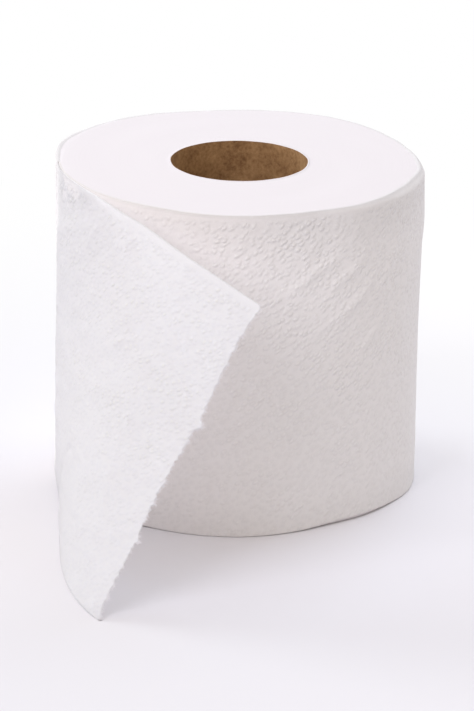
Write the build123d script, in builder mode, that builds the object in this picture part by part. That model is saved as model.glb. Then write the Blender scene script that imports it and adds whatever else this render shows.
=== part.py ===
from build123d import *
import math
import os

# Toilet paper roll standing on end, with its last sheet peeled off the roll and hanging in front.
# Frame: the roll's axis is Z and its lower end face is on Z = 0. The front is -Y.
# Angles round the roll are in degrees from +X, counterclockwise seen from above,
# which is also the way that the web winds outwards.

# Driving dimensions of the roll, in millimetres
roll_height = 101.6
roll_diameter = 112.0
sheet_thickness = 0.4
rim_softness = 0.3

# The cardboard core, a strip wound into a tube, with the strip's edges meeting in a helical seam
core_bore_diameter = 42.0
core_wall = 0.6
seam_lead = 92.0
seam_width = 0.4
seam_depth = 0.2
seam_foot_angle = 228.0

# The turns, which show as a spiral line on both end faces
turn_lines = 4
turn_line_width = 0.3
turn_line_depth = 0.35
turn_line_margin = 2.5

# The last turn, which lies tight on the roll at first and stands off it before the tail leaves
tail_leaves_angle = 184.2
tight_from_angle = 290.0
slack_from_angle = 20.0
slack_at_start = 0.25
slack_in_middle = 1.0
slack_at_tail = 1.8

# The tail, measured on the flat web from where it leaves the roll. It is flat as far as a line that runs
# aslant down the sheet, bends from there as far as a second line, which ends at the tip, and is flat again.
# A line is given by its foot, at the web's lower edge, and its head, at the upper one.
tail_length = 122.2
torn_edge_skew = 8.1
torn_edge_bow = 2.9
bend_angle = 49.7
bend_folds = 6
first_line_foot = 96.2
first_line_head = 0.2
second_line_head = 31.7

# What the perforation leaves along the torn edge: even small tabs, and a few that tore further.
# A torn tab is its place along the edge from the tip, its width and its length.
perforation_tabs = 19
tab_width = 2.6
tab_length = 0.6
torn_tabs = [(0.25, 2.2, 1.3), (0.43, 1.8, 1.0), (0.62, 3.2, 2.4)]

# Worked-out values
roll_radius = roll_diameter / 2
bore_radius = core_bore_diameter / 2
core_radius = bore_radius + core_wall
last_turn_inside = roll_radius - sheet_thickness
under_tail_radius = last_turn_inside - slack_at_tail


def around(radius, angle):
    """A point at a radius and an angle round the roll's axis."""
    return (radius * math.cos(math.radians(angle)), radius * math.sin(math.radians(angle)))


# Cardboard core: the tube, and the seam in its bore
seam = Helix(pitch=seam_lead, height=roll_height, radius=bore_radius).rotate(Axis.Z, seam_foot_angle)
with BuildPart() as cardboard_core:
    with BuildSketch():
        Circle(core_radius)
        Circle(bore_radius, mode=Mode.SUBTRACT)
    extrude(amount=roll_height)

    with BuildSketch(Plane(seam @ 0, x_dir=around(1, seam_foot_angle), z_dir=seam % 0)):
        Rectangle(2 * seam_depth, seam_width)
    sweep(path=seam, is_frenet=True, mode=Mode.SUBTRACT)


def spiral_line(radius, pitch, turns):
    """A spiral of half circles about two centres half a pitch apart, each half circle wider than the last."""
    for half_turn in range(2 * turns):
        outwards = half_turn % 2 == 0
        centre = (0, 0) if outwards else (pitch / 2, 0)
        CenterArc(centre, radius + half_turn * pitch / 2, 0 if outwards else 180, 180)


def across(sheet, foot, head):
    """The plane of the sheet's cross-section along a line across it, and the line's length."""
    foot_point = sheet.from_local_coords((foot, 0))
    head_point = sheet.from_local_coords((head, roll_height))
    line = head_point - foot_point
    return Plane((foot_point + head_point) / 2, x_dir=line, z_dir=line.cross(sheet.z_dir)), line.length


# Tissue paper: the wound turns, the loose last turn and the tail, one web from the core to the torn edge
with BuildPart() as tissue_paper:
    with BuildSketch():
        with BuildLine():
            last_turn_arc = 360 + tail_leaves_angle - tight_from_angle
            last_turn = CenterArc((0, 0), roll_radius, tight_from_angle, last_turn_arc)
            Line(around(roll_radius, tail_leaves_angle), around(last_turn_inside, tail_leaves_angle))
            CenterArc((0, 0), last_turn_inside, tail_leaves_angle, slack_from_angle - tail_leaves_angle)
            slack_start = around(last_turn_inside - slack_at_start, slack_from_angle)
            Line(around(last_turn_inside, slack_from_angle), slack_start)
            slack_middle_angle = (slack_from_angle + tail_leaves_angle) / 2
            slack_middle = around(last_turn_inside - slack_in_middle, slack_middle_angle)
            under_tail = around(under_tail_radius, tail_leaves_angle)
            ThreePointArc(slack_start, slack_middle, under_tail)
            clockwise = around(1, tight_from_angle - 90)
            turn_under_tail = TangentArc(around(roll_radius, tight_from_angle), under_tail, tangent=clockwise)
        make_face()
        Circle(core_radius, mode=Mode.SUBTRACT)
    extrude(amount=roll_height)

    # The rims, where the outer turn's edges are soft
    rims = []
    for height in (0, roll_height):
        for arc in (last_turn, turn_under_tail):
            rims.append(edges().sort_by_distance(arc @ 0.5 + Vector(0, 0, height))[0])
    chamfer(rims, rim_softness)

    # The turns on both end faces
    line_start = core_radius + turn_line_margin
    line_pitch = (under_tail_radius - turn_line_margin - line_start) / turn_lines
    for end_face in (Plane.XY.offset(roll_height), Plane.XY.rotated((180, 0, 0))):
        with BuildSketch(end_face):
            with BuildLine():
                spiral_line(line_start, line_pitch, turn_lines)
            trace(line_width=turn_line_width)
        extrude(amount=-turn_line_depth, mode=Mode.SUBTRACT)

    # The tail's first flat part, from where it leaves the roll to the first line
    leaving_point = around(roll_radius - sheet_thickness / 2, tail_leaves_angle)
    outwards = around(1, tail_leaves_angle)
    sheet = Plane(leaving_point, x_dir=around(1, tail_leaves_angle + 90), z_dir=outwards)
    with BuildSketch(sheet):
        Polygon((0, 0), (first_line_foot, 0), (first_line_head, roll_height), (0, roll_height), align=None)
    extrude(amount=sheet_thickness / 2, both=True)

    # The tail's bend, as small folds between the two lines, with a section before and after each fold
    for number in range(2 * bend_folds + 1):
        place = number / (2 * bend_folds)
        foot = first_line_foot + (tail_length - first_line_foot) * place
        head = first_line_head + (second_line_head - first_line_head) * place
        section, line_length = across(sheet, foot, head)
        if number % 2 == 0:
            with BuildSketch(section):
                Rectangle(line_length, sheet_thickness)
        else:
            fold = section.location * Rotation(bend_angle / bend_folds, 0, 0) * section.location.inverse()
            sheet = Plane(fold * sheet.location)
    loft()

    # The tail's flat end, from the second line to the torn edge
    with BuildSketch(sheet):
        with BuildLine():
            corner = (tail_length - torn_edge_skew, roll_height)
            middle = (tail_length - torn_edge_skew / 2 - torn_edge_bow, roll_height / 2)
            torn_edge = ThreePointArc((tail_length, 0), middle, corner)
            Polyline(corner, (second_line_head, roll_height), (tail_length, 0))
        make_face()
        tabs = [((tab + 0.5) / perforation_tabs, tab_width, tab_length) for tab in range(perforation_tabs)]
        for place, width, length in tabs + torn_tabs:
            along = torn_edge % place
            with Locations(torn_edge @ place):
                Rectangle(width, 2 * length, rotation=math.degrees(math.atan2(along.Y, along.X)))
    extrude(amount=sheet_thickness / 2, both=True)

    # The tip ends where it meets the floor
    split(bisect_by=Plane.XY, keep=Keep.TOP)

cardboard_core.part.label = "cardboard_core"
tissue_paper.part.label = "tissue_paper"

os.makedirs("parts", exist_ok=True)
export_step(cardboard_core.part, "parts/cardboard_core.step")
export_step(tissue_paper.part, "parts/tissue_paper.step")
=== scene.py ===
import math

import bpy
import numpy as np
from mathutils import Matrix, Vector


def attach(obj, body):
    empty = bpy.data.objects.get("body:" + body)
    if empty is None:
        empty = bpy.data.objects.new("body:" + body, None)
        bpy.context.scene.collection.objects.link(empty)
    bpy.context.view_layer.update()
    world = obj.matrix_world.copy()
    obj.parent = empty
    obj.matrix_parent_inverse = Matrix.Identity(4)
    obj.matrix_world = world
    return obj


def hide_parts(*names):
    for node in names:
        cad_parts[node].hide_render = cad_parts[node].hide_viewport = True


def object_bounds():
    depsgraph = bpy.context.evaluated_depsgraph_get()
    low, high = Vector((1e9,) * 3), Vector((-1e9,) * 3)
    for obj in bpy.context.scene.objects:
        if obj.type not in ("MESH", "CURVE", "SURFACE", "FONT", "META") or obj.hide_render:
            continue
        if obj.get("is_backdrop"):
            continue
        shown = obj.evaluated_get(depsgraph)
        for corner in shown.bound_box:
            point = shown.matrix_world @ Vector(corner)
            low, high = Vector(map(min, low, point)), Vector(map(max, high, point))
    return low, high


# Toilet paper roll standing on end, its last sheet peeled off and hanging in front.
# Lengths here are in millimetres, and MM makes them metres where a mesh is made.
# Frame: the roll's axis is Z, the lower end face is on Z = 0, the front is -Y.
# w is the distance along the web of the last turn and the tail, from the last turn's start, and v the height on it.

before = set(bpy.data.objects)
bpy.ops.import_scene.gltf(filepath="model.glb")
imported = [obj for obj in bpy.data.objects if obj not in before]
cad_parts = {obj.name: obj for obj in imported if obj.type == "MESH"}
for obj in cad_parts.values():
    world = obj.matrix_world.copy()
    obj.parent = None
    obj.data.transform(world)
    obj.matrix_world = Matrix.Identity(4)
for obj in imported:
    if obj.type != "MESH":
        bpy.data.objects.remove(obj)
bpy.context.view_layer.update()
rng = np.random.default_rng(7)

MM = 0.001
H = 101.6                       # the web's width, which is the roll's height
R0 = 56.0                       # the roll's nominal radius
LEAVE = 184.2                   # where the tail leaves the roll, in degrees
MM_PER_DEGREE = math.pi * R0 / 180
TURN = 360 * MM_PER_DEGREE      # w where the tail leaves
PLY = 0.26                      # thickness of the two plies
CORE_OUTSIDE = 21.62            # the wound turns' inner radius, just outside the core
UNDER_GAP = 0.4                 # from the last turn's outside to the wound turns' outside
FLOOR_CLEAR = 0.03              # the lowest that the tail and its fibres come


def smooth(x, a=0.0, b=1.0):
    t = np.clip((np.asarray(x, float) - a) / (b - a), 0, 1)
    return t * t * (3 - 2 * t)


def table(x, pairs, soft):
    """A smooth curve through (angle, value) pairs, as weighted means of the straight lines between them."""
    xs, ys = np.array(pairs, float).T
    x = np.asarray(x, float)
    offsets = np.linspace(-2, 2, 9) * soft
    weights = np.exp(-0.5 * (offsets / soft) ** 2)
    return sum(wt * np.interp(x + o, xs, ys) for o, wt in zip(offsets, weights)) / weights.sum()


# ---------------------------------------------------------------- the relief of the web, as one height field
STEP = 0.4
NW, NV = int((TURN + 130) / STEP) + 1, int(H / STEP) + 2
field = np.zeros((NW, NV))


def ridge(w0, v0, angle, length, width, height, wave=0.0):
    """Adds one soft ridge, or a furrow where height is below 0."""
    reach = 2.6 * max(length, width)
    i0, i1 = max(0, int((w0 - reach) / STEP)), min(NW, int((w0 + reach) / STEP) + 2)
    j0, j1 = max(0, int((v0 - reach) / STEP)), min(NV, int((v0 + reach) / STEP) + 2)
    if i0 >= i1 or j0 >= j1:
        return
    dw = np.arange(i0, i1)[:, None] * STEP - w0
    dv = np.arange(j0, j1)[None, :] * STEP - v0
    c, s = math.cos(angle), math.sin(angle)
    along, across = dw * c + dv * s, -dw * s + dv * c
    across = across + wave * np.sin(along / length * 2.2)
    field[i0:i1, j0:j1] += height * np.exp(-0.5 * ((along / length) ** 2 + (across / width) ** 2))


def on_turn(degrees_):
    """w of an angle round the roll."""
    return ((degrees_ - LEAVE) % 360) * MM_PER_DEGREE


def ridges(count, places, heights, slope, length, width, rise, wave=0.0, strength=None):
    """Adds ridges at random. slope (in degrees) and rise are a mean and a spread, the others the ends of a range."""
    for _ in range(count):
        w0, v0 = rng.uniform(*places), rng.uniform(*heights)
        angle = math.radians(rng.normal(*slope))
        size = rng.uniform(*length), rng.uniform(*width)
        height = rng.normal(*rise) * (strength(w0, v0) if strength else 1.0)
        ridge(w0, v0, angle, *size, height, rng.uniform(-wave, wave) if wave else 0.0)


def at_front(w0, v0):
    """The strength of the roll's small ridges, which is greatest high up at the front and right."""
    front = math.exp(-((w0 - on_turn(300)) / 75) ** 2)
    return (0.4 + 0.6 * front) * (0.4 + 0.6 * smooth(v0, 30, 75))


# on the roll: soft ridges that rise to the right
ridges(700, (0, TURN - 4), (3, H - 5), (50, 14), (1.6, 3.6), (0.7, 1.1), (0.05, 0.07), 0.4, at_front)
ridges(130, (0, TURN - 8), (8, H - 10), (50, 25), (5, 11), (1.8, 3.6), (0, 0.10))
# a few long creases in the upper right of the front
CREASES = [  # angle round the roll, height, slope in degrees, length, width, depth
    (311, 72, 44, 7.0, 1.1, 0.30), (306, 80, 40, 6.0, 1.0, 0.24), (318, 60, 52, 6.5, 1.0, 0.22),
    (296, 83, 35, 6.0, 1.0, 0.22), (288, 78, 33, 5.5, 0.9, 0.20), (324, 78, 60, 7.0, 1.0, 0.20),
    (300, 66, 42, 5.0, 0.9, 0.18), (333, 68, 66, 8.0, 1.0, 0.20)]
for degrees_, v0, slope, length, width, height in CREASES:
    ridge(on_turn(degrees_), v0, math.radians(slope), length, width, 1.7 * height, 0.5)
# on the tail: wavy wrinkles that run nearly level and begin where it leaves the roll
ridges(520, (TURN + 4, TURN + 124), (1, H - 1), (6, 24), (1.8, 4.5), (0.7, 1.4), (0.0, 0.20), 0.6,
       lambda w0, v0: smooth(w0, TURN, TURN + 18))
ridges(60, (TURN + 12, TURN + 120), (4, H - 4), (5, 18), (7, 14), (2.2, 4.2), (0.0, 0.22), 0.8,
       lambda w0, v0: smooth(w0, TURN, TURN + 30))


def relief(w, v):
    """The height field at (w, v), in millimetres."""
    w, v = np.broadcast_arrays(np.asarray(w, float), np.asarray(v, float))
    x, y = np.clip(w / STEP, 0, NW - 1.001), np.clip(v / STEP, 0, NV - 1.001)
    i, j = x.astype(int), y.astype(int)
    fx, fy = x - i, y - j
    return (field[i, j] * (1 - fx) * (1 - fy) + field[i + 1, j] * fx * (1 - fy)
            + field[i, j + 1] * (1 - fx) * fy + field[i + 1, j + 1] * fx * fy)


# ---------------------------------------------------------------- the roll's outside
LEAVE_R = 55.55                 # the radius at half height where the last turn starts
# Tables of (angle from LEAVE to LEAVE + 360, value): the radius at the upper and the lower rim, the upper
# shoulder's width, and what the wound turns keep from the last turn beyond UNDER_GAP
TOP_R = [(184.2, 55.55), (200, 55.6), (218, 55.5), (234, 55.1), (245, 55.2), (258, 56.3), (270, 56.5), (283, 55.8),
         (296, 55.4), (310, 56.6), (324, 56.3), (343, 56.5), (358, 57.0), (366, 56.3), (381, 55.2), (392, 55.4),
         (408, 56.5), (424, 57.1), (437, 56.3), (450, 55.3), (463, 54.9), (477, 56.4), (491, 57.2), (504, 57.7),
         (518, 58.2), (524, 58.0), (532, 57.1), (544.2, 55.9)]
LOW_R = [(184.2, 55.55), (210, 56.0), (244, 56.6), (258, 57.3), (272, 57.4), (281, 56.7), (292, 55.5), (303, 54.2),
         (315, 55.0), (332, 55.0), (345, 56.2), (370, 56.4), (400, 55.7), (440, 56.2), (480, 56.7), (515, 57.0),
         (544.2, 55.9)]
SHOULDER = [(184.2, 0.1), (198, 0.12), (212, 0.3), (230, 0.35), (270, 0.35), (300, 0.5), (325, 1.0), (343, 1.5),
            (356, 1.5), (368, 1.1), (385, 0.8), (400, 0.7), (430, 0.6), (455, 0.5), (470, 0.45), (488, 0.4),
            (544.2, 0.3)]
GAP = [(184.2, 0.0), (500, 0.0), (520, 0.08), (544.2, 0.1)]


def outside(angle, z):
    """The last turn's outer radius at an angle from LEAVE to LEAVE + 360, without its wrinkles."""
    t = z / H
    top, low = smooth(t, 0.45, 1.0), 1 - smooth(t, 0.0, 0.5)
    at_top, at_low = table(angle, TOP_R, 2.0), table(angle, LOW_R, 3.0)
    middle = R0 + 0.25 * np.sin(np.radians(angle * 3 + 40)) + 0.15 * np.sin(np.radians(angle * 7 + 10) + t * 3)
    ends = np.minimum(smooth(angle, LEAVE, LEAVE + 14), smooth(LEAVE + 360 - angle, 0, 14))
    middle = (LEAVE_R + 0.35 * smooth(angle, LEAVE, LEAVE + 360)) * (1 - ends) + middle * ends
    bulge = 0.45 * np.exp(-(((angle - 360) / 12) ** 2) - ((z - 84) / 9) ** 2)
    return top * at_top + low * at_low + (1 - top - low) * middle + bulge


def mesh_piece(name, points, faces, flat=(), uv=None, floats=None):
    """A mesh object in metres from points in millimetres.

    The faces whose numbers are in flat are shaded flat. uv and each list in floats have one value for each vertex.
    """
    mesh = bpy.data.meshes.new(name)
    points = np.asarray(points, float).reshape(-1, 3) * MM
    faces = [tuple(int(i) for i in f) for f in faces]
    mesh.from_pydata([tuple(p) for p in points], [], faces)
    shade = np.ones(len(mesh.polygons), bool)
    shade[list(flat)] = False
    mesh.polygons.foreach_set("use_smooth", shade)
    if uv is not None:
        layer = mesh.uv_layers.new(name="web")
        corners = np.zeros(len(mesh.loops), int)
        mesh.loops.foreach_get("vertex_index", corners)
        layer.data.foreach_set("uv", np.asarray(uv, np.float32).reshape(-1, 2)[corners].ravel())
    for key, values in (floats or {}).items():
        attribute = mesh.attributes.new(key, "FLOAT", "POINT")
        attribute.data.foreach_set("value", np.asarray(values, np.float32).ravel())
    mesh.validate()
    mesh.update()
    piece = bpy.data.objects.new(name, mesh)
    bpy.context.scene.collection.objects.link(piece)
    return piece


def strip_faces(columns, rows, closed=False):
    """Quads between neighbouring profiles of rows vertices each. closed joins the last profile to the first."""
    faces = []
    for i in range(columns if closed else columns - 1):
        a, b = i * rows, ((i + 1) % columns) * rows
        for j in range(rows):
            k = (j + 1) % rows
            faces.append((a + j, b + j, b + k, a + k))
    return faces


def round_piece(name, angles, radii, heights, faces, flat=()):
    """A piece from profiles of radii and heights, each at its angle round the roll."""
    a = np.radians(angles)[:, None]
    points = np.stack([radii * np.cos(a), radii * np.sin(a), heights], -1)
    w = np.broadcast_to(((angles - LEAVE) * MM_PER_DEGREE)[:, None], radii.shape)
    return mesh_piece(name, points, faces, flat, np.stack([w, heights], -1), {"free": np.zeros(radii.shape)})


# the last turn: in each column, up the outer wall, over the upper shoulder, down the inside, round the lower shoulder
COLUMN_WIDTH = 0.78
columns = int(TURN / COLUMN_WIDTH) + 1
wall_rows, shoulder_rows, inner_rows = 124, 8, 8
angles = np.linspace(LEAVE, LEAVE + 360, columns)
w_of = (angles - LEAVE) * MM_PER_DEGREE
shoulder = table(angles, SHOULDER, 3.0)
shoulder = shoulder * (1 + 0.12 * np.sin(np.radians(angles * 11)) + 0.08 * np.sin(np.radians(angles * 23 + 50)))
drop = 0.3 + 1.5 * shoulder
lower = 0.3 + 0.2 * (1 + np.sin(np.radians(angles * 5 + 20)))
lift = 0.8 * np.exp(-((angles - 315) / 17) ** 2)
edge_wave = 0.10 * np.sin(np.radians(angles * 9 + 30)) + 0.07 * np.sin(np.radians(angles * 31))
loose = smooth(angles, 480, 500) * (1 - smooth(angles, 536, 544.2))
crest = edge_wave * (0.4 + 0.4 * loose)


def wall(z):
    fade = smooth(z, 0, 2.5) * (1 - smooth(z, H - 3.2, H - 1.2))
    return outside(angles, z) + relief(w_of, z) * fade


profile_r, profile_z = [], []
for j in range(wall_rows + 1):
    z = lower + lift + (H - drop - lower - lift) * j / wall_rows
    profile_r.append(wall(z)), profile_z.append(z)
for j in range(1, shoulder_rows + 1):
    t = j / shoulder_rows
    profile_r.append(wall(H - drop) - shoulder * t ** 1.7)
    profile_z.append(H - drop * (1 - t) + crest * t)
# a lip inwards that dips under the wound turns' face, so that no crevice shows between them
inner_edge = wall(H - drop) - np.maximum(shoulder + 0.1, PLY)
for inwards, down, waving in ((0.4, 0.02, 0.5), (0.9, 0.11, 0.3), (1.5, 0.3, 0.3), (1.5, 0.7, 0.3)):
    profile_r.append(inner_edge - inwards), profile_z.append(H - down + waving * crest)
for j in range(inner_rows + 1):
    z = (H - drop - 0.3) + (lower + lift + 0.3 - (H - drop - 0.3)) * j / inner_rows
    profile_r.append(wall(z) - PLY - 0.12), profile_z.append(z)
for j in range(1, 5):
    phi = math.pi / 2 * j / 5
    profile_r.append(wall(lower + lift) - lower * (1 - math.sin(phi)))
    profile_z.append(lift + lower * (1 - math.cos(phi)))
profile_r, profile_z = np.array(profile_r).T, np.array(profile_z).T
rows = profile_r.shape[1]
side = strip_faces(columns, rows)
caps = [tuple(range(rows)), tuple((columns - 1) * rows + j for j in reversed(range(rows)))]
last_turn = round_piece("last_turn", angles, profile_r, profile_z, side + caps, flat=(len(side), len(side) + 1))

# ---------------------------------------------------------------- the wound turns inside the last one
body_columns = 360
body_angles = LEAVE + np.arange(body_columns)
gap = table(body_angles, GAP, 2.0)
under = outside(body_angles, H - 2.0) - UNDER_GAP - gap
under_low = outside(body_angles, 2.0) - UNDER_GAP - gap
BODY_WALL_STEPS, RIM_STEPS = 14, 8
LOW_ROUND = 1.0                 # the lower rim's rounding
FACE_DOWN = 0.07                # how far the upper end face lies under the web's edge
wedge = smooth(body_angles, 492, 518) * (1 - 0.6 * smooth(body_angles, 532, 543))
rim_in = table(body_angles, SHOULDER, 3.0) * (1 + 0.12 * np.sin(np.radians(body_angles * 11))) + 1.7 * wedge
rim_down = 0.12 + 1.5 * table(body_angles, SHOULDER, 3.0) * (1 - 0.9 * wedge)
face_radii = np.concatenate([[CORE_OUTSIDE, 21.9], np.linspace(22.6, 54.0, 42)])


def face_height(radius, angle):
    """The slight unevenness of an end face."""
    a_ = np.radians(angle)
    return (0.05 * np.sin(radius * 0.35 + 1.2 * np.sin(a_)) * np.sin(2 * a_ + radius * 0.08)
            + 0.05 * np.sin(3 * a_ + radius * 0.21) + 0.006 * np.sin(radius * 1.7 + 2 * np.sin(2 * a_)))


body_r, body_z = [], []
share = (face_radii - CORE_OUTSIDE) / (face_radii[-1] - CORE_OUTSIDE)
for s_ in share:                                      # lower end face, outwards
    radius = CORE_OUTSIDE + (under_low - LOW_ROUND - CORE_OUTSIDE) * s_
    body_r.append(radius), body_z.append(np.zeros(body_columns) + 0.02)
for j in range(1, 5):
    phi = math.pi / 2 * j / 4
    body_r.append(under_low - LOW_ROUND * (1 - math.sin(phi)))
    body_z.append(np.full(body_columns, LOW_ROUND * (1 - math.cos(phi))))
for j in range(1, BODY_WALL_STEPS):                   # the wall
    t = j / BODY_WALL_STEPS
    z = 1.2 + (H - rim_down - 1.6) * t
    body_r.append(outside(body_angles, z) - UNDER_GAP - gap), body_z.append(z)
for j in range(RIM_STEPS):                            # the upper rim
    t = j / RIM_STEPS
    body_r.append(under - rim_in * t ** (1.7 - 0.7 * wedge)), body_z.append(H - FACE_DOWN - rim_down * (1 - t))
for s_ in share[:1:-1]:                               # upper end face, inwards
    radius = CORE_OUTSIDE + (under - rim_in - CORE_OUTSIDE) * s_
    body_r.append(radius), body_z.append(H - FACE_DOWN + face_height(radius, body_angles) * smooth(radius, 22, 26))
# inwards over the core's upper edge, where ragged fibres lie on it, and down outside the core
for r_, z_ in ((21.75, H - 0.05), (21.4, H + 0.03), (21.15, H + 0.02), (21.04, H - 0.03), (21.1, H + 0.005),
               (CORE_OUTSIDE, H + 0.005), (CORE_OUTSIDE, H - 2.0), (CORE_OUTSIDE, H / 2), (CORE_OUTSIDE, 2.0)):
    ragged = 0.05 * np.sin(np.radians(body_angles * 13)) * (r_ < 21.5) * (z_ > H - 0.05)
    body_r.append(np.full(body_columns, r_) + ragged), body_z.append(np.full(body_columns, z_))
body_r, body_z = np.array(body_r).T, np.array(body_z).T
wound_turns = round_piece("wound_turns", body_angles, body_r, body_z,
                          strip_faces(body_columns, body_r.shape[1], closed=True))

# ---------------------------------------------------------------- the tail
# Control points of a cubic surface: rows from where the tail leaves the roll to the torn edge, columns upwards.
NET = np.array([
    [[-55.7, -4.1, 0.0], [-55.7, -4.1, 16.9], [-55.7, -4.1, 50.8], [-55.7, -4.1, 84.7], [-55.7, -4.1, 101.6]],
    [[-55.4, -10.9, 0.0], [-56.1, -10.8, 16.9], [-55.4, -10.5, 50.8], [-55.7, -10.4, 84.7], [-56.2, -10.5, 101.6]],
    [[-53.5, -24.3, 0.0], [-54.8, -23.8, 16.9], [-54.8, -23.0, 50.7], [-54.9, -23.3, 84.6], [-53.8, -24.0, 101.4]],
    [[-52.9, -44.5, -0.1], [-52.8, -43.5, 16.8], [-52.7, -42.0, 50.6], [-44.9, -40.7, 84.0], [-42.2, -40.0, 100.4]],
    [[-52.2, -65.0, -0.1], [-51.0, -63.1, 16.8], [-47.2, -60.6, 50.5], [-35.4, -56.9, 82.5], [-28.8, -54.7, 98.8]],
    [[-51.1, -85.4, 0.2], [-47.7, -82.6, 16.7], [-39.9, -78.4, 49.7], [-25.0, -72.7, 80.4], [-17.8, -71.1, 95.3]],
    [[-47.8, -106.1, 0.3], [-41.9, -102.0, 16.2], [-29.0, -93.9, 47.5], [-14.1, -88.1, 76.7], [-5.5, -85.8, 92.3]],
    [[-42.7, -119.2, 0.1], [-35.5, -113.0, 15.0], [-20.9, -104.0, 44.8], [-5.7, -96.9, 73.9], [2.5, -95.5, 89.7]],
    [[-39.0, -125.0, -0.5], [-32.6, -118.8, 14.2], [-16.8, -108.9, 43.6], [-1.6, -101.4, 72.5], [6.6, -100.0, 88.6]],
])
TAIL, SKEW, BOW = 122.2, 8.1, 2.88      # the flat sheet's length at the floor, and its torn edge's slant and bow
TORN_TABS = [(0.14, 1.2, 0.7), (0.25, 1.5, 1.2), (0.43, 1.4, 0.9), (0.53, 1.1, 0.7), (0.625, 2.0, 2.4)]


def basis(count, x, order=3):
    """Values of the clamped uniform cubic B-spline's basis functions at x, from 0 to 1."""
    knots = np.concatenate([np.zeros(order), np.linspace(0, 1, count - order + 1), np.ones(order)])
    x = np.clip(np.asarray(x, float), 0, 1 - 1e-9)
    b = [((x >= knots[i]) & (x < knots[i + 1])).astype(float) for i in range(len(knots) - 1)]
    for k in range(1, order + 1):
        nxt = []
        for i in range(len(b) - 1):
            left, right = knots[i + k] - knots[i], knots[i + k + 1] - knots[i + 1]
            value = 0
            if left > 0:
                value = value + (x - knots[i]) / left * b[i]
            if right > 0:
                value = value + (knots[i + k + 1] - x) / right * b[i + 1]
            nxt.append(value + np.zeros_like(x))
        b = nxt
    return np.stack(b, -1)


# The torn edge along t, from the floor up: the perforation's cuts and the bonds that tore, of uneven length
tail_columns, tail_rows = 172, 206
t_of = np.linspace(0, 1, tail_columns)
v_of = t_of * H
tear = np.zeros(tail_columns)
place = 1.2
while place < H - 1:
    width, reach = rng.uniform(0.8, 1.7), rng.uniform(0.15, 0.75)
    tear += reach * np.exp(-((v_of - place) / (0.5 * width)) ** 4)
    place += rng.uniform(4.4, 5.8)
for at, width, reach in TORN_TABS:
    tear += reach * np.exp(-((v_of - at * H) / (0.5 * width)) ** 2) * (1 + 0.3 * np.sin(v_of * 5))
tear += 0.14 * rng.standard_normal(tail_columns) + 1.2 * np.exp(-((v_of / 3) ** 2))
# the upper corner keeps a small flap
corner = 0.6 * smooth(v_of, H - 0.8, H) - 1.0 * np.exp(-(((v_of - H + 1.4) / 1.3) ** 2))
s_of = np.linspace(0, 1, tail_rows)
U = TAIL - SKEW * t_of - BOW * 4 * t_of * (1 - t_of)
u_grid = s_of[:, None] * (U + tear - corner)[None, :]
s_grid = np.minimum(u_grid / U[None, :], 1.0)
over = u_grid - U[None, :] * s_grid
b_t = basis(NET.shape[1], t_of)
b_s = basis(NET.shape[0], s_grid.ravel()).reshape(tail_rows, tail_columns, NET.shape[0])
tail_points = np.einsum("abi,bj,ijk->abk", b_s, b_t, NET)
end_slope = NET[-1] - NET[-2]
end_slope = end_slope / np.linalg.norm(end_slope, axis=1)[:, None]
tail_points += over[:, :, None] * (b_t @ end_slope)[None, :, :]
# where it leaves, the sheet runs smoothly off the cylinder of the last turn, which its upper edge follows further
cylinder_angle = np.radians(LEAVE + u_grid / MM_PER_DEGREE)
cylinder = np.stack([(R0 - 0.1) * np.cos(cylinder_angle), (R0 - 0.1) * np.sin(cylinder_angle),
                     np.broadcast_to(v_of, u_grid.shape)], -1)
high = smooth(v_of, 0.78 * H, H)[None, :]
on = (1 - smooth((u_grid - 20 * high) / (9 + 23 * high)))[:, :, None]
tail_points = cylinder * on + tail_points * (1 - on)


def normals(grid):
    """The unit normals of a grid of points."""
    across = np.cross(np.gradient(grid, axis=0), np.gradient(grid, axis=1))
    return across / np.linalg.norm(across, axis=-1)[..., None]


n = normals(tail_points)
flutter = 0.35 * np.sin(v_of / 6.3 + 0.8)[None, :] * smooth(s_of, 0.75, 1.0)[:, None] ** 2
rise = relief(TURN + u_grid, np.broadcast_to(v_of, u_grid.shape)) * smooth(u_grid, 0, 3) + flutter
outer = tail_points + n * rise[..., None]
n = normals(outer)
thin = PLY * (0.06 + 0.94 * smooth(1 - s_of, 0.0, 0.04))[:, None, None]
inner = outer - n * thin
for layer in (outer, inner):
    layer[..., 2] = np.maximum(layer[..., 2], FLOOR_CLEAR)
count = tail_rows * tail_columns
grid = np.arange(count).reshape(tail_rows, tail_columns)
faces = []
for i in range(tail_rows - 1):
    for j in range(tail_columns - 1):
        p, q, r_, s_ = grid[i, j], grid[i + 1, j], grid[i + 1, j + 1], grid[i, j + 1]
        faces.append((p, q, r_, s_))
        faces.append((p + count, s_ + count, r_ + count, q + count))
ring = list(grid[0, :]) + list(grid[1:, -1]) + list(grid[-1, -2::-1]) + list(grid[-2:0:-1, 0])
sides = [(p, q, q + count, p + count) for p, q in zip(ring, ring[1:] + ring[:1])]
uv = np.stack([TURN + u_grid, np.broadcast_to(v_of, u_grid.shape)], -1)
free = smooth(u_grid, 0, 16)
tail = mesh_piece("tail", np.concatenate([outer.reshape(-1, 3), inner.reshape(-1, 3)]), faces + sides,
                  flat=range(len(faces), len(faces) + len(sides)), uv=np.concatenate([uv.reshape(-1, 2)] * 2),
                  floats={"free": np.concatenate([free.ravel()] * 2)})

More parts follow.
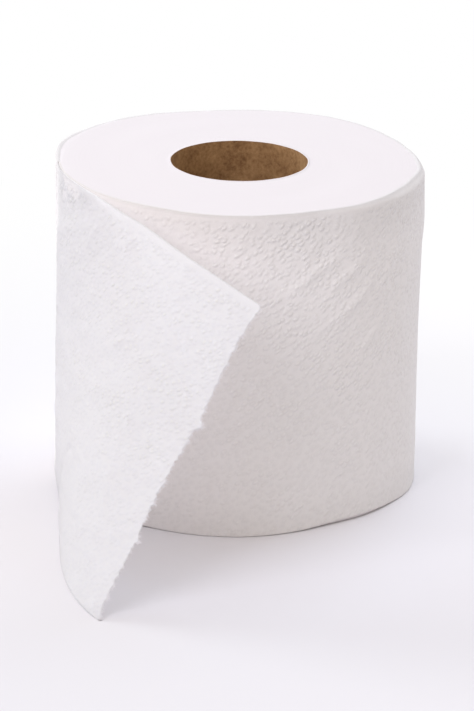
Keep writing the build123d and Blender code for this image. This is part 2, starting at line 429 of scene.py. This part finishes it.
# fibres that stand out from the torn edge, each a tapered three-sided thread: in tufts, and single
TUFTS, FIBRES_IN_TUFT, SINGLES = 90, 9, 260
FIBRE_RADII = ((0.0, 0.08), (0.5, 0.055), (1.0, 0.02))      # (share of the length, radius)
fibre_points, fibre_faces, fibre_uv = [], [], []
edge_line, edge_out = outer[-1] - 0.5 * (thin * n)[-1], outer[-1] - outer[-4]
edge_out = edge_out / np.linalg.norm(edge_out, axis=1)[:, None]
edge_along = np.gradient(edge_line, axis=0)
edge_along = edge_along / np.linalg.norm(edge_along, axis=1)[:, None]
bunch = (0.35 + np.clip(tear, 0, None)) / np.sum(0.35 + np.clip(tear, 0, None))
tufts = [(k, rng.normal(0, 0.5), rng.normal(-0.7, 0.35), rng.uniform(0.5, 1.0))
         for k in rng.choice(tail_columns, TUFTS, p=bunch)]
singles = [(k, rng.normal(0, 0.8), rng.normal(-0.5, 0.5), rng.uniform(0.3, 0.8))
           for k in rng.choice(tail_columns, SINGLES)]
for k, lean, up, reach in [tuft for tuft in tufts for _ in range(FIBRES_IN_TUFT)] + singles:
    k = int(np.clip(k + rng.integers(-1, 2), 0, tail_columns - 1))
    lean, up, reach = lean + rng.normal(0, 0.35), up + rng.normal(0, 0.3), reach * rng.uniform(0.4, 1.3)
    heading = edge_out[k] + lean * edge_along[k] + up * n[-1, k]
    heading = heading / np.linalg.norm(heading)
    curl = (rng.normal(0, 0.35) * edge_along[k] + rng.normal(0, 0.3) * n[-1, k]) * reach
    root = edge_line[k] + rng.uniform(-0.3, 0.3) * edge_along[k] - 0.12 * edge_out[k]
    first = edge_along[k] - edge_along[k].dot(heading) * heading
    first = first / np.linalg.norm(first)
    up_ = np.cross(heading, first)
    base = len(fibre_points)
    for s_, radius in FIBRE_RADII:
        centre = root + heading * reach * s_ + curl * s_ * s_
        for c_, d_ in ((1, 0), (0, 0.4), (-1, 0)):
            point = centre + radius * (c_ * first + d_ * up_)
            fibre_points.append((point[0], point[1], max(point[2], FLOOR_CLEAR)))
            fibre_uv.append((TURN + U[k], v_of[k]))
    for ring_ in range(2):
        for q in range(3):
            p, p2 = base + 3 * ring_ + q, base + 3 * ring_ + (q + 1) % 3
            fibre_faces.append((p, p2, p2 + 3, p + 3))
    fibre_faces += [(base + 2, base + 1, base), (base + 6, base + 7, base + 8)]
torn_fibres = mesh_piece("torn_fibres", fibre_points, fibre_faces, flat=range(len(fibre_faces)), uv=fibre_uv)


# ---------------------------------------------------------------- materials
def new_material(name):
    """A material without nodes, and the function that adds one to it from its kind, its inputs and its settings.

    An input is a value or another node's output.
    """
    made = bpy.data.materials.new(name)
    made.use_nodes = True
    made.node_tree.nodes.clear()

    def add(kind, inputs=(), **settings):
        node = made.node_tree.nodes.new("ShaderNode" + kind)
        for key, value in settings.items():
            setattr(node, key, value)
        for key, value in dict(inputs).items():
            if isinstance(value, bpy.types.NodeSocket):
                made.node_tree.links.new(value, node.inputs[key])
            else:
                node.inputs[key].default_value = value
        return node
    return made, add


def scaled(add, value, source, low, high, soft=True):
    """An output taken from the range source to the range from low to high, with soft ends or linearly."""
    ranges = {"From Min": source[0], "From Max": source[1], "To Min": low, "To Max": high}
    kind = "SMOOTHSTEP" if soft else "LINEAR"
    return add("MapRange", {"Value": value, **ranges}, interpolation_type=kind).outputs[0]


def product(add, *factors):
    """The product of outputs and numbers."""
    result = factors[0]
    for factor in factors[1:]:
        result = add("Math", {0: result, 1: factor}, operation="MULTIPLY").outputs[0]
    return result


def plus_times(add, value, factor, rest):
    """value * factor + rest."""
    return add("Math", {0: value, 1: factor, 2: rest}, operation="MULTIPLY_ADD").outputs[0]


def blend(add, factor, first, second, kind="MIX"):
    """Two colours mixed, or multiplied where kind is MULTIPLY."""
    return add("Mix", {0: factor, 6: first, 7: second}, data_type="RGBA", blend_type=kind).outputs[2]


def ramp(add, value, stops):
    """The colour at value between stops, each a position and a colour."""
    made = add("ValToRGB", {0: value})
    ends = made.color_ramp.elements
    ends[0].position, ends[0].color = stops[0]
    ends[1].position, ends[1].color = stops[-1]
    for position, color in stops[1:-1]:
        made.color_ramp.elements.new(position).color = color
    return made.outputs[0]


def tissue_material():
    """The web: embossed dashes, crepe, and a tone that differs between the wound paper and the free sheet."""
    made, add = new_material("tissue")
    web = add("UVMap", uv_map="web").outputs["UV"]
    free_ = add("Attribute", attribute_name="free", attribute_type="GEOMETRY").outputs["Fac"]
    split = add("SeparateXYZ", {0: web})
    w, v = split.outputs["X"], split.outputs["Y"]

    # the embossed dashes: cells of a grid turned to the dashes' slope and drawn out along it
    wobble = add("TexNoise", {"Vector": web, "Scale": 0.12, "Detail": 2.0}).outputs["Color"]
    bend = add("VectorMath", {0: wobble, 1: (2.2, 2.2, 0), 2: web}, operation="MULTIPLY_ADD").outputs[0]
    turned = add("Mapping", {"Vector": bend, "Rotation": (0, 0, math.radians(-36))}, vector_type="POINT").outputs[0]
    drawn = add("Mapping", {"Vector": turned, "Scale": (1 / 2.3, 1 / 1.5, 1)}, vector_type="POINT").outputs[0]
    dashes = add("TexVoronoi", {"Vector": drawn, "Scale": 1.0, "Randomness": 1.0},
                 feature="F1", voronoi_dimensions="2D")
    uneven = add("SeparateColor", {0: dashes.outputs["Color"]}).outputs[0]
    bumps = product(add, scaled(add, dashes.outputs["Distance"], (0.0, 0.62), 1.0, 0.0),
                    scaled(add, uneven, (0, 1), 0.35, 1.0, soft=False))
    # pressed deeper in some places, and less near the rim, low down, beside the tail's start and on the free sheet
    patch = add("TexNoise", {"Vector": web, "Scale": 0.07, "Detail": 3.0}).outputs["Fac"]
    strength = product(add, scaled(add, patch, (0.35, 0.65), 0.55, 1.0, soft=False),
                       scaled(add, v, (H - 2.6, H - 1.4), 1.0, 0.05), scaled(add, v, (15.0, 55.0), 0.6, 1.0),
                       scaled(add, w, (55.0, 90.0), 0.7, 1.0), scaled(add, free_, (0, 1), 1.0, 0.85, soft=False))
    pressed = product(add, bumps, strength)
    # fibres: fine crepe across the web
    drawn_out = add("Mapping", {"Vector": web, "Scale": (1.6, 0.45, 1)}, vector_type="POINT").outputs[0]
    crepe = add("TexNoise", {"Vector": drawn_out, "Scale": 1.6, "Detail": 5.0, "Roughness": 0.65}).outputs["Fac"]
    height = plus_times(add, crepe, 0.35, pressed)
    normal = add("Bump", {"Strength": 1.0, "Distance": 0.00039, "Height": height}).outputs[0]

    # colour: white with a trace of lilac, with painted shade at the foot of the dashes and between them
    shade = plus_times(add, pressed, 0.75, product(add, crepe, 0.35))
    wound_tone = ramp(add, shade, [(0.05, (0.955, 0.940, 0.972, 1)), (0.32, (0.895, 0.880, 0.912, 1)),
                                   (0.6, (0.960, 0.945, 0.977, 1)), (1.0, (0.985, 0.970, 0.999, 1))])
    free_tone = ramp(add, shade, [(0.05, (0.980, 0.986, 1.000, 1)), (0.32, (0.952, 0.960, 0.995, 1)),
                                  (0.6, (0.984, 0.992, 1.000, 1)), (1.0, (0.998, 1.000, 1.000, 1))])
    tone = blend(add, free_, wound_tone, free_tone)
    # wound paper is warmer; beside the tail it bears a painted warm glow of the light let through the tail, and painted
    # shade darkens it near the rim, on its cut edge and near the floor
    painted_glow_fade = scaled(add, w, (60.0, 110.0), 0.0, 1.0)
    tint_with_painted_glow = blend(add, painted_glow_fade, (1.012, 0.985, 0.945, 1), (1.012, 1.005, 0.982, 1))
    painted_shading = product(add, scaled(add, v, (84.0, 98.0), 1.0, 0.93), scaled(add, v, (100.5, 101.4), 1.0, 0.86, soft=False),
                    scaled(add, v, (3.0, 13.0), 0.965, 1.0))
    wound_tint_with_painted_light = add("VectorMath", {0: tint_with_painted_glow, "Scale": painted_shading}, operation="SCALE").outputs[0]
    tint = blend(add, free_, wound_tint_with_painted_light, (1, 1, 1, 1))
    color = blend(add, 1.0, tone, tint, "MULTIPLY")
    passed = blend(add, 1.0, color, (1.0, 0.985, 0.965, 1), "MULTIPLY")

    paper = add("BsdfPrincipled", {"Base Color": color, "Roughness": scaled(add, crepe, (0, 1), 0.85, 0.98, soft=False),
                                   "Normal": normal, "Specular IOR Level": 0.18, "Sheen Weight": 0.12,
                                   "Sheen Roughness": 0.6}).outputs[0]
    through = add("BsdfTranslucent", {"Color": passed, "Normal": normal}).outputs[0]
    mix = add("MixShader", {0: product(add, free_, 0.60), 1: paper, 2: through}).outputs[0]
    add("OutputMaterial", {"Surface": mix})
    return made


def fibre_material():
    """Single fibres: white and soft, with some light let through, without the web's pattern."""
    made, add = new_material("tissue_fibre")
    place_ = add("TexCoord").outputs["Object"]
    mottle = add("TexNoise", {"Vector": place_, "Scale": 1200.0, "Detail": 2.0}).outputs["Fac"]
    tone = ramp(add, mottle, [(0.3, (0.955, 0.940, 0.965, 1)), (0.7, (0.990, 0.978, 0.998, 1))])
    paper = add("BsdfPrincipled", {"Base Color": tone, "Roughness": 0.95, "Specular IOR Level": 0.15}).outputs[0]
    through = add("BsdfTranslucent", {"Color": tone}).outputs[0]
    mix = add("MixShader", {0: 0.35, 1: paper, 2: through}).outputs[0]
    add("OutputMaterial", {"Surface": mix})
    return made


def turns_material():
    """The wound turns' end faces: the cut edges of the turns as very fine rings, with a soft nap."""
    made, add = new_material("tissue_turns")
    place_ = add("TexCoord").outputs["Object"]
    flat_ = add("VectorMath", {0: place_, 1: (1, 1, 0)}, operation="MULTIPLY").outputs[0]
    radius_ = add("VectorMath", {0: flat_}, operation="LENGTH").outputs["Value"]
    wobble = add("TexNoise", {"Vector": place_, "Scale": 28.0, "Detail": 3.0}).outputs["Fac"]
    rings = add("TexNoise", {"W": plus_times(add, wobble, 0.0012, radius_), "Scale": 2600.0, "Detail": 3.0,
                             "Roughness": 0.6}, noise_dimensions="1D").outputs["Fac"]
    nap = add("TexNoise", {"Vector": place_, "Scale": 900.0, "Detail": 4.0}).outputs["Fac"]
    normal = add("Bump", {"Strength": 0.3, "Distance": 0.00008, "Height": plus_times(add, nap, 0.5, rings)}).outputs[0]
    # painted shade: the end faces' tone is set darker than the wound paper's, to hold down the strong light that falls
    # on them from above
    tone = ramp(add, rings, [(0.25, (0.767, 0.729, 0.755, 1)), (0.75, (0.793, 0.755, 0.780, 1))])
    paper = add("BsdfPrincipled", {"Base Color": tone, "Roughness": scaled(add, nap, (0, 1), 0.9, 1.0, soft=False),
                                   "Normal": normal, "Specular IOR Level": 0.15, "Sheen Weight": 0.12,
                                   "Sheen Roughness": 0.6}).outputs[0]
    add("OutputMaterial", {"Surface": paper})
    return made


def kraft_material():
    """The core's brown kraft board: mottled grey-brown pulp with long fibres and flecks."""
    made, add = new_material("kraft_board")
    place_ = add("TexCoord").outputs["Object"]
    pulp = add("TexNoise", {"Vector": place_, "Scale": 160.0, "Detail": 6.0, "Roughness": 0.6}).outputs["Fac"]
    drawn = add("Mapping", {"Vector": place_, "Scale": (1, 1, 0.9), "Rotation": (0.5, 0, 0)}).outputs[0]
    fibre = add("TexNoise", {"Vector": drawn, "Scale": 900.0, "Detail": 4.0, "Roughness": 0.7}).outputs["Fac"]
    both = add("Math", {0: pulp, 1: fibre}, operation="ADD").outputs[0]
    tone = ramp(add, product(add, both, 0.5), [(0.36, (0.200, 0.102, 0.042, 1)), (0.5, (0.345, 0.198, 0.09, 1)),
                                               (0.64, (0.46, 0.28, 0.135, 1))])
    normal = add("Bump", {"Strength": 0.4, "Distance": 0.0001, "Height": both}).outputs[0]
    board = add("BsdfPrincipled", {"Base Color": tone, "Roughness": scaled(add, fibre, (0, 1), 0.75, 0.95, soft=False),
                                   "Normal": normal, "Specular IOR Level": 0.25}).outputs[0]
    add("OutputMaterial", {"Surface": board})
    return made


def floor_material():
    """A white sweep that goes to pure white behind the object, for the camera's rays alone."""
    made, add = new_material("floor")
    place_ = add("TexCoord").outputs["Object"]
    grain = add("TexNoise", {"Vector": place_, "Scale": 400.0, "Detail": 3.0}).outputs["Fac"]
    split = add("SeparateXYZ", {0: place_})
    x, y = split.outputs["X"], split.outputs["Y"]
    camera_ray = add("LightPath").outputs["Is Camera Ray"]
    # painted shade and light: the sweep is a little darker in front and, beside the object, darker on the left and
    # paler on the right; and deeper to bounced light
    painted_shading = plus_times(add, scaled(add, x, (-0.1, 0.1), -0.09, 0.09, soft=False),
                       scaled(add, y, (-0.06, 0.01), 0.35, 1.0), scaled(add, y, (-0.16, -0.06), 0.925, 1.0))
    shown = product(add, painted_shading, scaled(add, camera_ray, (0, 1), 0.74, 1.0, soft=False))
    color = add("VectorMath", {0: (0.850, 0.837, 0.874), "Scale": shown}, operation="SCALE").outputs[0]
    ground = add("BsdfPrincipled", {"Base Color": color, "Roughness": scaled(add, grain, (0, 1), 0.6, 0.8, soft=False),
                                    "Specular IOR Level": 0.1}).outputs[0]
    white = add("Emission", {"Color": (1, 1, 1, 1), "Strength": 1.0}).outputs[0]
    seen = product(add, scaled(add, y, (-0.02, 0.30), 0.0, 1.0), camera_ray)
    mix = add("MixShader", {0: seen, 1: ground, 2: white}).outputs[0]
    add("OutputMaterial", {"Surface": mix})
    return made


tissue = tissue_material()
for piece in (last_turn, tail):
    piece.data.materials.append(tissue)
torn_fibres.data.materials.append(fibre_material())
wound_turns.data.materials.append(turns_material())
for piece in (wound_turns, last_turn, tail, torn_fibres):
    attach(piece, "root")
    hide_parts("tissue_paper")
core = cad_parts["cardboard_core"]
kraft = kraft_material()
for slot_ in core.material_slots:
    slot_.material = kraft

# ---------------------------------------------------------------- floor, light, camera
HALF_SIDE, FLOOR_Z = 6.0, -0.00005      # metres; the floor lies a hair under the roll
floor = bpy.data.objects.new("floor", bpy.data.meshes.new("floor"))
floor.data.from_pydata([(x * HALF_SIDE, y * HALF_SIDE, FLOOR_Z) for x, y in ((-1, -1), (1, -1), (1, 1), (-1, 1))],
                       [], [(0, 1, 2, 3)])
bpy.context.scene.collection.objects.link(floor)
floor.data.materials.append(floor_material())
floor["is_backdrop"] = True

world = bpy.data.worlds.new("studio")
bpy.context.scene.world = world
world.use_nodes = True
background = world.node_tree.nodes["Background"].inputs
background["Color"].default_value, background["Strength"].default_value = (1.0, 0.926, 0.854, 1), 0.737


def lamp(name, position, size, energy, color):
    """A square area light that faces the middle of the roll."""
    light = bpy.data.lights.new(name, "AREA")
    light.shape, light.size, light.energy, light.color = "SQUARE", size, energy, color
    made = bpy.data.objects.new(name, light)
    made.location = position
    made.rotation_euler = (Vector((0, 0, 0.05)) - Vector(position)).to_track_quat("-Z", "Y").to_euler()
    bpy.context.scene.collection.objects.link(made)


lamp("front_left", (-1.0, -1.2, 1.2), 1.0, 12.2, (0.903, 0.906, 1.0))
lamp("back_left", (-1.5, 0.8, 0.6), 1.0, 14.2, (0.906, 0.972, 1.0))
lamp("back_right", (0.55, 0.75, 1.4), 1.0, 8.2, (0.635, 0.792, 1.0))
lamp("back", (0.0, 1.6, 0.9), 1.2, 1.0, (0.839, 0.931, 1.0))

# the camera that was fitted to the rims in the photo
camera = bpy.data.objects.new("camera", bpy.data.cameras.new("camera"))
camera.data.sensor_fit, camera.data.sensor_height, camera.data.lens = "VERTICAL", 36.0, 268.67
camera.data.clip_end = 50
camera.matrix_world = Matrix(((0.999849, -0.017360, -0.000210, 0.0), (0.005489, 0.327569, -0.944811, -1.55672),
                              (0.016471, 0.944668, 0.327614, 0.57816), (0, 0, 0, 1)))
bpy.context.scene.collection.objects.link(camera)
bpy.context.scene.camera = camera
bpy.context.scene.view_settings.view_transform = "Standard"

low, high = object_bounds()
